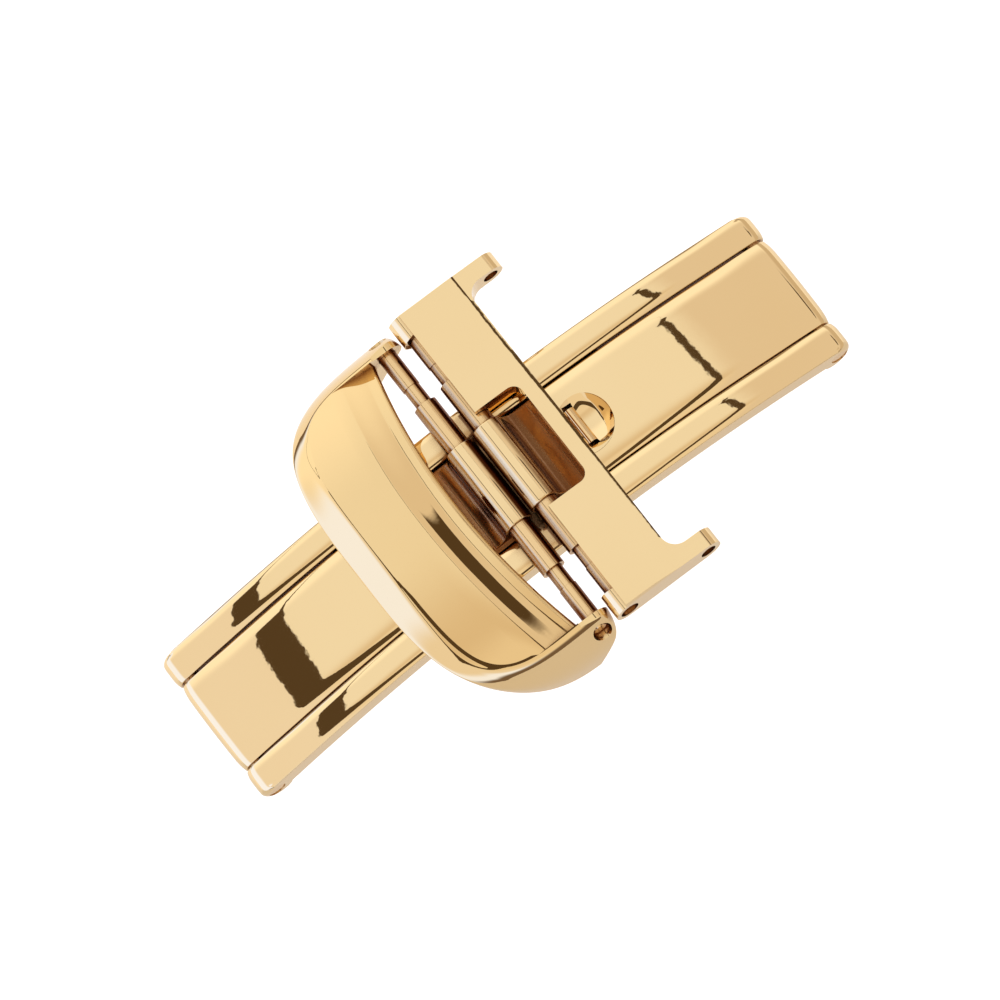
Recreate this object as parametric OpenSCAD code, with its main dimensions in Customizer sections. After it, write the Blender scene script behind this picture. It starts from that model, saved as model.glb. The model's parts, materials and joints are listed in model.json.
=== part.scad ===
// Double folding deployant clasp for an 18 mm watch strap, in millimetres.
// X runs along the clasp, Y across the strap, Z is up and away from the wrist.
// The origin is on the table, midway between the two end knuckles that the clasp rests on.

/* [Frame] */
// Length of the closed clasp from knuckle to knuckle
clasp_len = 39.2; // [36:0.2:44]
// Width over the two rails
frame_w = 9.4; // [9:0.1:10]
// Radius of the frame's upper surface along the clasp
frame_r = 59.7; // [48:0.5:70]
// Width of one rail
rail_w = 1.7; // [1.5:0.05:1.8]
// Thickness of a rail away from the middle
rail_t = 1.4; // [1.35:0.05:1.6]
// Rounding of the rails' long upper edges
rail_edge = 0.35; // [0.15:0.05:0.4]
// Rounding of the frame's four corners seen from above
corner_r = 0.6; // [0.4:0.1:1.2]
// Radius of the knuckles at both ends
knuckle_r = 0.85; // [0.8:0.05:1]
// Diameter of the two end hinge pins
hinge_pin_d = 1; // [0.8:0.05:1.1]
// Half length of the web that joins the rails under the middle
web_half = 9; // [7.6:0.2:11]
// Width of the web, which laps under both rails
web_w = 8; // [7.4:0.1:8.6]
// Thickness of the web
web_t = 0.8; // [0.6:0.05:1.2]

/* [Blades] */
// Thickness of both folding blades
blade_t = 1.1; // [1:0.05:1.2]
// Gap on each side of a blade, between the rails
blade_gap = 0.16; // [0.1:0.01:0.2]
// Outer diameter of the barrels that carry the spring bars
barrel_d = 1.75; // [1.7:0.01:1.8]
// Length of a barrel across the clasp
barrel_w = 5.3; // [4.4:0.1:5.6]
// Place of the cover's spring bar along the clasp
cover_bar_x = -0.25; // [-0.6:0.05:-0.25]
// Height of the cover's spring bar above the frame's upper surface
cover_bar_lift = 0.8; // [0.75:0.01:0.85]
// Place of the bracket's spring bar along the clasp
bracket_bar_x = 1.55; // [1.55:0.05:2]
// Height of the bracket's spring bar above the frame's upper surface
bracket_bar_lift = 1.35; // [1.3:0.01:1.6]

/* [Catches] */
// Distance of each catch from the middle of the clasp
catch_x = 5.65; // [5.4:0.05:6.4]
// Diameter of the cup set in each blade
cup_d = 3.5; // [3.2:0.1:3.8]
// Diameter of the round dish in a cup
catch_hole_d = 3.1; // [2.6:0.1:3.1]
// Depth of the dish
catch_dish = 0.55; // [0.4:0.05:0.6]
// Length of a catch across the clasp
catch_w = 2.2; // [1.8:0.1:2.4]
// Diameter of the rolled head of a catch
catch_head_d = 0.66; // [0.56:0.02:0.7]
// Thickness of the spring strip that a catch is folded from
catch_strip = 0.18; // [0.14:0.01:0.2]

/* [Spring bars] */
// Outer diameter of a spring bar's tube
bar_d = 1.36; // [1.3:0.01:1.4]
// Length of tip that shows between a tube and the side of the strap's gap
tip_show = 3.4; // [3:0.1:4]
// Diameter of a sliding tip
tip_d = 1.04; // [1:0.01:1.06]
// Sliding clearance round a tip inside its tube
tip_gap = 0.03; // [0.02:0.005:0.04]
// Travel of a tip into its tube
tip_travel = 1.2; // [1:0.05:1.3]
// Running clearance round a bar and round a pin
run_gap = 0.03; // [0.02:0.005:0.05]
// Wire diameter of the coil spring in a bar
wire_d = 0.18; // [0.16:0.01:0.2]
// Turns of the coil spring
spring_turns = 11; // [8:1:12]

/* [Strap] */
// Clear width for the strap in the cover and between the horns
strap_gap = 18.2; // [17.8:0.1:18.6]
// Thickness of the strap that runs under the cover
strap_t = 2.05; // [1.8:0.05:2.2]
// Room left above the strap under the cover
strap_room = 0.25; // [0.1:0.05:0.4]

/* [Cover] */
// Thickness of a cheek at its lower edge
cheek_w = 1.4; // [1.35:0.05:1.6]
// Reach of the cover from its bar to its front rim
cover_len = 8.25; // [7.6:0.05:9]
// Inset of the upper face from the rim at the front
cover_front_inset = 1.45; // [1:0.05:1.6]
// Inset of the upper face from the outside of each cheek
cover_side_inset = 1.2; // [1:0.05:1.3]
// Thickness of the cover's top
cover_t = 1.1; // [0.9:0.05:1.2]
// Height that the upper face rises from its ends to its middle
cover_rise = 1.45; // [1:0.05:1.6]
// Height of the rim above the bar at the front
rim_z = 1.8; // [1.75:0.05:2.2]
// Depth of the cheeks below the bar
cheek_drop = 2.85; // [2.4:0.05:3]
// Height of the upright lip below the rim
lip_h = 0.2; // [0.1:0.05:0.3]
// Radius of a cheek's round end about the bar
lobe_r = 0.95; // [0.9:0.01:0.96]
// Distance from the bar to the cover's rear edge, at the middle
rear_mid = 1.85; // [1.6:0.05:2.2]
// Distance from the bar to the cover's rear edge, beside the cheeks
rear_end = 0.8; // [0.6:0.05:1]
// Angle that the cover leans down towards its front
cover_lean = 5; // [2:0.5:6]
// Diameter of the post that holds the strap
post_d = 1.5; // [1.2:0.1:1.6]
// Length of the post below the cover
post_len = 1.55; // [1.2:0.05:1.6]

/* [Bracket] */
// Thickness of a horn across the clasp
horn_w = 1; // [0.9:0.05:1.1]
// Distance from the bar to the bracket's rear edge
bracket_len = 3.55; // [3.3:0.05:3.8]
// Height of the bracket's upper face above the bar
bracket_top = 1.25; // [1.1:0.05:1.3]
// Thickness of the bracket's plate
bracket_t = 1.15; // [0.9:0.05:1.2]
// Distance from the bar to the strap's own spring bar
strap_bar_x = 5.15; // [5:0.05:5.5]
// Diameter of the holes for the strap's spring bar
strap_hole_d = 0.9; // [0.8:0.05:1]
// Radius of the horns' round tips
horn_r = 0.78; // [0.75:0.01:0.9]
// Radius of the ears round the bracket's spring bar
ear_r = 0.82; // [0.78:0.01:0.83]
// Thickness of the ears across the clasp
ear_w = 1.3; // [1.2:0.05:1.4]
// Half width of the notch round the right barrel
notch_half = 3.24; // [3.1:0.02:3.4]
// Width of the bridge behind the notch
bridge_w = 0.95; // [0.8:0.05:1.1]
// Angle that the bracket leans down towards its horns
bracket_lean = 3.5; // [2:0.5:4]

/* [Hidden] */
$fn = 64;
far = 60;
lap = 0.05;
gold = [0.91, 0.75, 0.45];
pale_gold = [0.94, 0.83, 0.58];
steel = [0.75, 0.75, 0.74];

// Frame: the arc's centre is straight below the middle and the knuckles touch the arc from inside
hinge_x = clasp_len / 2 - knuckle_r;
hinge_z = knuckle_r;
arc_z = hinge_z - sqrt(pow(frame_r - knuckle_r, 2) - hinge_x * hinge_x);
end_angle = asin(hinge_x / (frame_r - knuckle_r));
rail_in = frame_w / 2 - rail_w;
blade_half = rail_in - blade_gap;
foot_half = 0.7;
web_gap = 0.1;
web_depth = blade_t + web_gap;
function top_z(x) = arc_z + sqrt(frame_r * frame_r - x * x);
function arc_angle(x) = asin(x / frame_r);

// Spring bars
tube_len = strap_gap - 2 * tip_show;
cover_bar_z = top_z(cover_bar_x) + cover_bar_lift;
bracket_bar_z = top_z(bracket_bar_x) + bracket_bar_lift;
barrel_bore = bar_d + 2 * run_gap;
tube_bore = tip_d + 2 * tip_gap;
mouth_t = 0.25;
lip_in = 0.09;
mouth_bore = tube_bore - lip_in;
waist_d = mouth_bore - 2 * tip_gap;
seat_gap = 0.03;
waist_from = tube_len / 2 - mouth_t - seat_gap;
waist_to = tube_len / 2 + tip_travel + seat_gap;
piston_len = 1.4;
spring_half = waist_from - piston_len - seat_gap;

// Cover, about its own bar
cover_out = strap_gap / 2 + cheek_w;
cover_in = strap_gap / 2;
cover_top = strap_t + strap_room + cover_t - cover_bar_lift;
face_half = cover_out - cover_side_inset;
face_len = cover_len - cover_front_inset;
arch_r = (face_half * face_half + cover_rise * cover_rise) / (2 * cover_rise);
arch_z = cover_top - arch_r;
bar_level = cheek_drop / (cheek_drop + cover_top - cover_rise);
cheek_at_bar = cover_out - cover_side_inset * pow(bar_level, 2.75);
tip_recess = 0.25;
ceiling_r = 0.9;
cover_hole_d = tip_d + 2 * run_gap;
cover_reach = cheek_at_bar - tip_recess;
rear_r = (cover_in * cover_in + pow(rear_mid - rear_end, 2)) / (2 * (rear_mid - rear_end));
post_x = -4.6;
post_flange = 0.25;
post_root = 0.6;
post_dome = 0.35;
function arch(y) = arch_z + sqrt(arch_r * arch_r - y * y);

// Bracket, about its own bar
bracket_out = strap_gap / 2 + horn_w;
bracket_hole_d = tip_d + 2 * run_gap;
bracket_reach = bracket_out - tip_recess;
horn_in = strap_gap / 2;
ear_in = bracket_out - ear_w;
plate_left = -0.1;
edge_r = 0.45;
root_r = 1.2;

// A strip of the frame's arc from angle a0 to a1, with a section of y by depth below the surface
module arc_strip(y0, y1, d0, d1, a0, a1, edge) {
  translate([0, 0, arc_z])
    rotate([90, 0, 0])
      rotate([0, 0, 90 - a1])
        rotate_extrude(angle = a1 - a0, $fn = 180)
          difference() {
            translate([frame_r - d1, -y1])
              square([d1 - d0, y1 - y0]);
            if (edge > 0)
              for (side = [-y1, -y0])
                edge_cut(side, side < -(y0 + y1) / 2 ? 1 : -1, d0, edge);
          }
}

// The corner that is cut away to round an upper edge of a strip
module edge_cut(y, way, d0, edge) {
  difference() {
    translate([frame_r - d0 - edge, way > 0 ? y - 1 : y - edge])
      square([2, 1 + edge]);
    translate([frame_r - d0 - edge, y + way * edge])
      circle(edge, $fn = 32);
    translate([frame_r - d0 - edge - 1, y + way * edge - (way > 0 ? 0 : 5)])
      square([1 + edge, 5]);
  }
}

// A round bar along Y, centred on y = 0 unless it is moved
module bar_y(x, z, d, len, y = 0) {
  translate([x, y, z])
    rotate([90, 0, 0])
      cylinder(h = len, d = d, center = true);
}

// A profile drawn in X and Z, extruded along Y from y0 to y1
module along_y(y0, y1) {
  translate([0, y1, 0])
    rotate([90, 0, 0])
      linear_extrude(y1 - y0)
        children();
}

// A profile drawn in Y and Z, extruded along X from x0 to x1
module along_x(x0, x1) {
  translate([x0, 0, 0])
    rotate([90, 0, 90])
      linear_extrude(x1 - x0)
        children();
}

module round_rect(x0, x1, y0, y1, r) {
  translate([x0 + r, y0])
    square([x1 - x0 - 2 * r, y1 - y0]);
  translate([x0, y0 + r])
    square([x1 - x0, y1 - y0 - 2 * r]);
  for (x = [x0 + r, x1 - r])
    for (y = [y0 + r, y1 - r])
      translate([x, y])
        circle(r, $fn = 48);
}

// Local frame of a catch: its origin is on the surface, its Z follows the way the blade lifts off
module at_catch(side) {
  rise = top_z(catch_x) - hinge_z;
  run = hinge_x - catch_x;
  translate([side * catch_x, 0, top_z(catch_x)])
    rotate([0, side * atan2(rise, run), 0])
      children();
}

// Base: two rails, their end knuckles and the web between them
module base_frame() {
  color(gold)
    difference() {
      intersection() {
        union() {
          for (side = [-1, 1]) {
            y_in = side > 0 ? rail_in : -frame_w / 2;
            arc_strip(y_in, y_in + rail_w, 0, rail_t, -end_angle, end_angle, rail_edge);
            for (hinge = [-1, 1])
              bar_y(hinge * hinge_x, hinge_z, 2 * knuckle_r, rail_w, y_in + rail_w / 2);
          }
          web_angle = arc_angle(web_half);
          arc_strip(-web_w / 2, web_w / 2, web_depth, web_depth + web_t, -web_angle, web_angle, 0);
        }
        translate([0, 0, -lap])
          linear_extrude(far)
            round_rect(-clasp_len / 2, clasp_len / 2, -frame_w / 2, frame_w / 2, corner_r);
      }
      for (hinge = [-1, 1])
        bar_y(hinge * hinge_x, hinge_z, hinge_pin_d + 0.01, far);
      for (side = [-1, 1])
        at_catch(side)
          catch_slot(catch_neck() + 0.01, catch_w + 0.01);
    }
}

// Outer width of a catch's two legs where they pass a blade and the web
function catch_neck() = 2 * catch_strip + 0.06;

// A slot for a catch, cut straight down through a blade or the web
module catch_slot(x_size, y_size) {
  translate([-x_size / 2, -y_size / 2, -5])
    cube([x_size, y_size, 5]);
}

module hinge_pin(side) {
  color(steel)
    bar_y(side * hinge_x, hinge_z, hinge_pin_d, frame_w - 0.1);
}

module left_hinge_pin() {
  hinge_pin(-1);
}

module right_hinge_pin() {
  hinge_pin(1);
}

// Catch: a strip of spring folded to a rolled head, with its two legs set in the web
module catch_spring(side) {
  head_r = catch_head_d / 2;
  head_z = -head_r - 0.06;
  foot_z = -web_depth - web_t + 0.1;
  color(pale_gold)
    at_catch(side)
      along_y(-catch_w / 2, catch_w / 2)
        difference() {
          union() {
            translate([0, head_z])
              circle(head_r, $fn = 48);
            translate([-catch_neck() / 2, foot_z])
              square([catch_neck(), head_z - foot_z]);
          }
          translate([0, head_z])
            circle(head_r - catch_strip, $fn = 48);
          translate([-0.03, foot_z - lap])
            square([0.06, head_z - foot_z]);
        }
}

module left_catch() {
  catch_spring(-1);
}

module right_catch() {
  catch_spring(1);
}

// Blade: an arc between the rails, a knuckle at the end hinge and a barrel at the middle
module blade(side, bar_x, lift, fillet_r) {
  a_end = side * end_angle;
  a_bar = arc_angle(bar_x);
  bar_z = top_z(bar_x) + lift;
  difference() {
    union() {
      blade_arc(min(a_end, a_bar), max(a_end, a_bar));
      bar_y(side * hinge_x, hinge_z, 2 * knuckle_r, 2 * blade_half);
      translate([bar_x, 0, bar_z])
        along_y(-barrel_w / 2, barrel_w / 2)
          barrel_foot(side, lift, fillet_r);
    }
    bar_y(side * hinge_x, hinge_z, hinge_pin_d + 2 * run_gap, far);
    bar_y(bar_x, bar_z, barrel_bore, far);
    at_catch(side)
      cylinder(h = 4, d = cup_d + 0.01, center = true);
  }
}

module blade_arc(a0, a1) {
  arc_strip(-blade_half, blade_half, 0, blade_t, a0, a1, rail_edge);
}

// Side view of a barrel on its foot, with a hollow fillet on the blade's side
module barrel_foot(side, lift, fillet_r) {
  r = barrel_d / 2;
  up = fillet_r - lift;
  out = sqrt(pow(r + fillet_r, 2) - up * up);
  drop = -lift - blade_t;
  circle(r);
  difference() {
    polygon([
      [-side * foot_half, drop],
      [-side * foot_half, 0],
      [0, 0],
      [side * out * r / (r + fillet_r), up * r / (r + fillet_r)],
      [side * out, up],
      [side * out, -lift - 0.25],
      [side * foot_half, drop]
    ]);
    translate([side * out, up])
      circle(fillet_r);
  }
}

// Catch cup: a round plug in the blade with a dish, a slice of a sphere, and a slot
module catch_cup(side) {
  ball_r = (pow(catch_hole_d / 2, 2) + catch_dish * catch_dish) / (2 * catch_dish);
  a0 = arc_angle(catch_x - cup_d);
  a1 = arc_angle(catch_x + cup_d);
  color(pale_gold)
    difference() {
      intersection() {
        at_catch(side)
          cylinder(h = 4, d = cup_d, center = true);
        arc_strip(-blade_half, blade_half, 0, blade_t, side > 0 ? a0 : -a1, side > 0 ? a1 : -a0, 0);
      }
      at_catch(side) {
        translate([0, 0, ball_r - catch_dish])
          sphere(ball_r, $fn = 96);
        catch_slot(catch_head_d - 0.06, catch_w + 0.5);
      }
    }
}

module left_catch_cup() {
  catch_cup(-1);
}

module right_catch_cup() {
  catch_cup(1);
}

module left_blade() {
  color(gold)
    blade(-1, cover_bar_x, cover_bar_lift, 0.8);
}

module right_blade() {
  color(gold)
    blade(1, bracket_bar_x, bracket_bar_lift, 1.6);
}

// Spring bar tube: bored through, with both mouths rolled in to keep the tips
module bar_tube(x, z) {
  color(pale_gold)
    difference() {
      bar_y(x, z, bar_d, tube_len);
      bar_y(x, z, tube_bore, tube_len - 2 * mouth_t);
      bar_y(x, z, mouth_bore, far);
    }
}

// Spring bar tip: a piston in the tube, a waist as long as its travel and the part that shows
module bar_tip(x, z, side, reach) {
  half = tip_d / 2;
  nose = 0.15;
  color(pale_gold)
    translate([x, 0, z])
      rotate([side > 0 ? -90 : 90, 0, 0])
        rotate_extrude()
          polygon([
            [0, waist_from - piston_len],
            [half, waist_from - piston_len],
            [half, waist_from],
            [waist_d / 2, waist_from],
            [waist_d / 2, waist_to],
            [half, waist_to],
            [half, reach - nose],
            [half - nose, reach],
            [0, reach]
          ]);
}

// Helix of the coil spring along Y, as points on the middle of its wire
coil_r = tube_bore / 2 - wire_d / 2 - 0.04;
coil_steps = 12;
coil_half = spring_half - wire_d / 2;
function coil_point(i) = [
  coil_r * cos(360 * i / coil_steps),
  -coil_half + 2 * coil_half * i / (spring_turns * coil_steps),
  coil_r * sin(360 * i / coil_steps)
];
coil_path = [for (i = [0 : spring_turns * coil_steps]) coil_point(i)];
coil_gap = min([for (i = [0 : len(coil_path) - 1 - coil_steps])
  norm(coil_path[i + coil_steps] - coil_path[i])]) - wire_d;
echo(least_gap_between_spring_turns = coil_gap);

// Wire swept along the helix, with sides set square to each point's radius
module bar_spring(x, z) {
  sides = 6;
  count = len(coil_path);
  points = [for (i = [0 : count - 1])
    let (a = 360 * i / coil_steps, out = [cos(a), 0, sin(a)])
    for (k = [0 : sides - 1])
      coil_path[i] + wire_d / 2 * (cos(360 * k / sides) * out + sin(360 * k / sides) * [0, 1, 0])];
  walls = [for (i = [0 : count - 2]) for (k = [0 : sides - 1])
    let (a = i * sides + k, b = i * sides + (k + 1) % sides)
    each [[a, b + sides, b], [a, a + sides, b + sides]]];
  caps = [
    for (k = [1 : sides - 2]) each [
      [0, k, k + 1],
      [(count - 1) * sides, (count - 1) * sides + k + 1, (count - 1) * sides + k]
    ]
  ];
  color(steel)
    translate([x, 0, z])
      polyhedron(points, concat(walls, caps));
}

module cover_bar_tube() {
  bar_tube(cover_bar_x, cover_bar_z);
}

module cover_bar_spring() {
  bar_spring(cover_bar_x, cover_bar_z);
}

module cover_bar_near_tip() {
  bar_tip(cover_bar_x, cover_bar_z, -1, cover_reach);
}

module cover_bar_far_tip() {
  bar_tip(cover_bar_x, cover_bar_z, 1, cover_reach);
}

module bracket_bar_tube() {
  bar_tube(bracket_bar_x, bracket_bar_z);
}

module bracket_bar_spring() {
  bar_spring(bracket_bar_x, bracket_bar_z);
}

module bracket_bar_near_tip() {
  bar_tip(bracket_bar_x, bracket_bar_z, -1, bracket_reach);
}

module bracket_bar_far_tip() {
  bar_tip(bracket_bar_x, bracket_bar_z, 1, bracket_reach);
}

// Cover: outlines are superellipses about the bar, longer to the front than to the rear
function signed_power(v, p) = sign(v) * pow(abs(v), p);
function cover_curve(a, front, rear, half, n) = [
  (cos(a) < 0 ? front : rear) * signed_power(cos(a), 2 / n),
  half * signed_power(sin(a), 2 / n)
];
function rim_height(y) = -cheek_drop + (rim_z + cheek_drop) * (1 - pow(min(1, abs(y) / cover_out), 7));

// Point of the side wall: s runs from the rim at 0 to the upper face at 1 and on past it
function cover_wall(a, s) =
  let (rim = cover_curve(a, cover_len, 1.3, cover_out, 3.2))
  let (face = cover_curve(a, face_len, 1.1, face_half, 4.6))
  let (z0 = rim_height(rim[1]), z1 = arch(face[1]) + 0.02)
  let (bend = 1.15 + 1.6 * pow(abs(rim[1]) / cover_out, 4))
  let (inset = s <= 0 ? 0 : s <= 1 ? pow(s, bend) : 1 + bend * (s - 1))
  [
    rim[0] + (face[0] - rim[0]) * inset,
    rim[1] + (face[1] - rim[1]) * inset,
    s < 0 ? z0 - lip_h : z0 + (z1 - z0) * s
  ];

// Closed blank of the cover, lofted through rings from the lip to just above the upper face
module cover_blank() {
  around = 80;
  levels = [-1, 0, 0.25, 0.5, 0.7, 0.86, 1, 1.16];
  rings = len(levels);
  points = concat(
    [for (s = levels) for (i = [0 : around - 1]) cover_wall(360 * (i + 0.5) / around, s)],
    [[-3, 0, -cheek_drop - 1], [-3, 0, cover_top + 2]]
  );
  bottom = rings * around;
  walls = [for (r = [0 : rings - 2]) for (i = [0 : around - 1])
    let (j = (i + 1) % around, a = r * around + i, b = r * around + j)
    each [[a, a + around, b + around], [a, b + around, b]]];
  caps = [for (i = [0 : around - 1])
    let (j = (i + 1) % around, up = (rings - 1) * around)
    each [[i, j, bottom], [up + i, bottom + 1, up + j]]];
  polyhedron(points, concat(walls, caps));
}

// Side view of the cover: the round ends about the bar and the cheeks' lower edge
module cover_side() {
  low = -cheek_drop - lip_h - 0.5;
  circle(lobe_r);
  polygon([
    [-far, low],
    [-1.7, low],
    [0.96 * lobe_r * cos(-30), 0.96 * lobe_r * sin(-30)],
    [0.96 * lobe_r * cos(45), 0.96 * lobe_r * sin(45)],
    [0.1 - rear_end, lobe_r * 1.1],
    [0.1 - rear_end, far],
    [-far, far]
  ]);
}

// Section of the cover's cavity: an arched ceiling with a round corner at each cheek
function arc_points(y, z, r, a0, a1, n) = [
  for (i = [0 : n])
    let (a = a0 + (a1 - a0) * i / n)
    [y + r * cos(a), z + r * sin(a)]
];

module cover_cavity() {
  in_r = arch_r - cover_t;
  corner_y = cover_in - ceiling_r;
  corner_z = arch_z + sqrt(pow(in_r - ceiling_r, 2) - corner_y * corner_y);
  turn = acos(corner_y / (in_r - ceiling_r));
  polygon(concat(
    arc_points(corner_y, corner_z, ceiling_r, 0, turn, 6),
    arc_points(0, arch_z, in_r, turn + 1, 179 - turn, 24),
    arc_points(-corner_y, corner_z, ceiling_r, 180 - turn, 180, 6),
    [[-cover_in, -far], [cover_in, -far]]
  ));
}

module buckle_cover() {
  color(gold)
    translate([cover_bar_x, 0, cover_bar_z])
      rotate([0, -cover_lean, 0])
        difference() {
          intersection() {
            cover_blank();
            translate([-far / 2, 0, arch_z])
              rotate([0, 90, 0])
                cylinder(h = far, r = arch_r, $fn = 360);
            along_y(-cover_out - 1, cover_out + 1)
              cover_side();
          }
          along_x(-far / 2, far / 2)
            cover_cavity();
          intersection() {
            translate([rear_r - rear_mid, 0, -far / 2])
              cylinder(h = far, r = rear_r, $fn = 360);
            translate([-far / 2, -cover_in, -far / 2])
              cube([far, 2 * cover_in, far]);
          }
          bar_y(0, 0, cover_hole_d, far);
          translate([post_x, 0, 0])
            cylinder(h = cover_top - cover_t + post_root, d = post_d - 0.4);
        }
}

// Strap post: a root set in the cover, a flange against it and a pin with a domed end
module strap_post() {
  seat = cover_top - cover_t - 0.03;
  ball_r = (pow(post_d / 2, 2) + post_dome * post_dome) / (2 * post_dome);
  color(pale_gold)
    translate([cover_bar_x, 0, cover_bar_z])
      rotate([0, -cover_lean, 0])
        translate([post_x, 0, seat]) {
          cylinder(h = post_root, d = post_d - 0.42);
          translate([0, 0, -post_flange])
            cylinder(h = post_flange, d = post_d + 0.8);
          intersection() {
            translate([0, 0, -post_len])
              cylinder(h = post_len, d = post_d);
            translate([0, 0, ball_r - post_len])
              sphere(ball_r, $fn = 96);
          }
        }
}

// Side view of the bracket's ends: the ear, the horn and the shoulder between them
module bracket_side() {
  circle(ear_r);
  translate([strap_bar_x, 0])
    circle(horn_r);
  polygon([
    [plate_left, bracket_top],
    [bracket_len, bracket_top],
    [strap_bar_x + horn_r * sin(12), horn_r * cos(12)],
    [strap_bar_x, -horn_r],
    [0, -ear_r],
    [plate_left, 0]
  ]);
}

// Plan of the bracket: the plate with its notch and root fillets, and the horns
module bracket_plan() {
  horn_end = strap_bar_x + horn_r + 1;
  difference() {
    union() {
      round_rect(-2, bracket_len, -bracket_out, bracket_out, 0.3);
      for (side = [-1, 1])
        translate([-2, side > 0 ? horn_in : -bracket_out])
          square([horn_end + 2, bracket_out - horn_in]);
      for (side = [-1, 1])
        translate([bracket_len - lap, side > 0 ? horn_in - root_r : -horn_in])
          square([root_r + lap, root_r]);
    }
    for (side = [-1, 1])
      translate([bracket_len + root_r, side * (horn_in - root_r)])
        circle(root_r, $fn = 64);
    round_rect(-3, bracket_len - bridge_w, -notch_half, notch_half, 0.6);
  }
}

module lug_bracket() {
  color(gold)
    translate([bracket_bar_x, 0, bracket_bar_z])
      rotate([0, bracket_lean, 0])
        difference() {
          intersection() {
            union() {
              along_y(-ear_in, ear_in)
                translate([plate_left, bracket_top - bracket_t])
                  square([far / 2, bracket_t]);
              for (side = [-1, 1])
                along_y(side > 0 ? ear_in : -bracket_out, side > 0 ? bracket_out : -ear_in)
                  bracket_side();
            }
            translate([0, 0, -far / 2])
              linear_extrude(far)
                bracket_plan();
            along_x(-far / 2, far / 2)
              round_rect(-bracket_out, bracket_out, -far / 2, bracket_top, edge_r);
          }
          bar_y(0, 0, bar_d + 0.16, 2 * ear_in);
          bar_y(0, 0, bracket_hole_d, far);
          bar_y(strap_bar_x, 0, strap_hole_d, far);
        }
}

base_frame();
left_hinge_pin();
right_hinge_pin();
left_catch();
right_catch();
left_blade();
left_catch_cup();
cover_bar_tube();
cover_bar_spring();
cover_bar_near_tip();
cover_bar_far_tip();
right_blade();
right_catch_cup();
bracket_bar_tube();
bracket_bar_spring();
bracket_bar_near_tip();
bracket_bar_far_tip();
buckle_cover();
strap_post();
lug_bracket();
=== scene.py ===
# Folding clasp for a watch strap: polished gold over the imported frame, inside a white tent.
import bmesh
import bpy
import json
import math
import numpy as np
from mathutils import Matrix, Vector


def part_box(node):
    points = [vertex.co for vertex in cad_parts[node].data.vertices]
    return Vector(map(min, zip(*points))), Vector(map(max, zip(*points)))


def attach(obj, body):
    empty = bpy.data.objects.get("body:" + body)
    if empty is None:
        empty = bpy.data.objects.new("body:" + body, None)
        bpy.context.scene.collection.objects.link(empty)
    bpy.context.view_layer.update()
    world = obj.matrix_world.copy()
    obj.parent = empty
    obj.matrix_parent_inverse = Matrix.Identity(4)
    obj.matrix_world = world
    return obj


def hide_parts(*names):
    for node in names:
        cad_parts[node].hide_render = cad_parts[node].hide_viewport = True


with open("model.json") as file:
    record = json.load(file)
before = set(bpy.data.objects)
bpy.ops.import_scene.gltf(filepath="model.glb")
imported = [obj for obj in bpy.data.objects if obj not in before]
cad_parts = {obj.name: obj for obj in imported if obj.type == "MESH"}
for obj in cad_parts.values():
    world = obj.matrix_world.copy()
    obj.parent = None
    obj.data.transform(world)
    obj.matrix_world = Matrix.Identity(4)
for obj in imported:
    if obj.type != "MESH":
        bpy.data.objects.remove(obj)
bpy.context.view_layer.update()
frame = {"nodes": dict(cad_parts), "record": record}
scene = bpy.context.scene
print("frame loaded:", len(frame["nodes"]), "nodes")


def addNode(tree, kind, **values):
    # A new node with its settings
    node = tree.nodes.new(kind)
    for key, value in values.items():
        setattr(node, key, value)
    return node


def mathNode(tree, operation, *sources):
    # One Math node: each source is a socket or a plain number
    node = addNode(tree, "ShaderNodeMath", operation=operation)
    for slot, source in enumerate(sources):
        if isinstance(source, (int, float)):
            node.inputs[slot].default_value = source
        else:
            tree.links.new(source, node.inputs[slot])
    return node.outputs[0]


def product(tree, first, *others):
    # All the factors multiplied in turn
    for other in others:
        first = mathNode(tree, "MULTIPLY", first, other)
    return first


def total(tree, first, *others):
    # All the terms added in turn
    for other in others:
        first = mathNode(tree, "ADD", first, other)
    return first


def less(tree, first, *others):
    # The first value less each of the others in turn
    for other in others:
        first = mathNode(tree, "SUBTRACT", first, other)
    return first


def ramp(tree, value, low, high):
    # 0 below low and 1 above high, smooth between; high may be the smaller one
    node = addNode(tree, "ShaderNodeMapRange", interpolation_type="SMOOTHSTEP")
    node.inputs["From Min"].default_value = low
    node.inputs["From Max"].default_value = high
    tree.links.new(value, node.inputs["Value"])
    return node.outputs[0]


def tintNode(tree, factor, first, second):
    # One colour mix: each side is a socket or a plain (r, g, b)
    node = addNode(tree, "ShaderNodeMix", data_type="RGBA", clamp_factor=True)
    tree.links.new(factor, node.inputs[0])
    for slot, source in ((6, first), (7, second)):
        if isinstance(source, tuple):
            node.inputs[slot].default_value = (*source, 1)
        else:
            tree.links.new(source, node.inputs[slot])
    return node.outputs[2]


def noiseNode(tree, vector, scale, detail):
    # Fractal noise over the vector, in waves per metre
    node = addNode(tree, "ShaderNodeTexNoise")
    node.inputs["Scale"].default_value = scale
    node.inputs["Detail"].default_value = detail
    tree.links.new(vector, node.inputs["Vector"])
    return node.outputs[0]


def splitNode(tree, vector):
    # The vector's x, y and z
    node = addNode(tree, "ShaderNodeSeparateXYZ")
    tree.links.new(vector, node.inputs[0])
    return node.outputs


# The photograph's view: a long lens above the clasp, leaning to its near side and rolled on its own axis
view = dict(
    lean=16.0, pitch=-2.0, roll=38.15,  # degrees
    picture=1000, pxPerMm=18.9, originPx=(504.4, 503.1),  # where the clasp's middle lies in the picture
    aimZ=0.001467, distance=0.6, sensor=36, nearest=0.01,
)


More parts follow.
